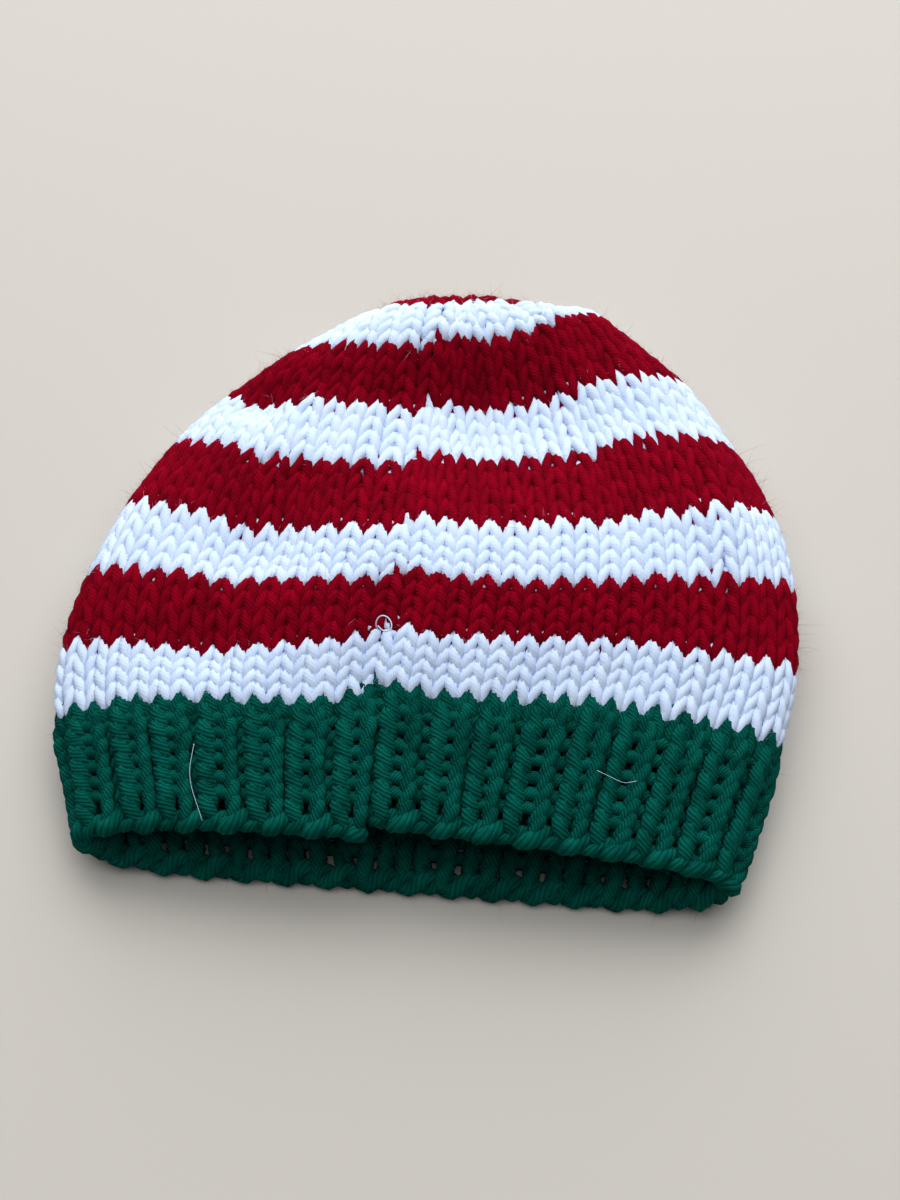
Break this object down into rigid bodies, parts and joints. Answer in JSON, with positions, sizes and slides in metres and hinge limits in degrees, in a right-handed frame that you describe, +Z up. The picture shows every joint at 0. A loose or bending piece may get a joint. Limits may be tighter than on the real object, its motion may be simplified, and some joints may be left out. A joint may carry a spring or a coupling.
{
  "type": "knitted baby hat",
  "caption": "Striped knitted baby hat with a ribbed brim, lying on its back layer with its opening to the front.",
  "frame": {"origin": "under the middle of the bounding box, on the surface that the hat lies on", "axes": "+X to the right across the hat, +Y from the opening to the crown, +Z up from the surface"},
  "size_m": [0.1564, 0.1378, 0.0361],
  "materials": {
    "green_yarn": "soft, slightly fuzzy wool yarn",
    "white_yarn": "soft, slightly fuzzy wool yarn",
    "red_yarn": "soft, slightly fuzzy wool yarn"
  },
  "bodies": {
    "root": {"brim": "green_yarn", "stripe_white_1": "white_yarn", "stripe_red_1": "red_yarn", "stripe_white_2": "white_yarn", "stripe_red_2": "red_yarn", "stripe_white_3": "white_yarn", "stripe_red_3": "red_yarn", "stripe_white_4": "white_yarn", "crown_red": "red_yarn"}
  },
  "joints": []
}
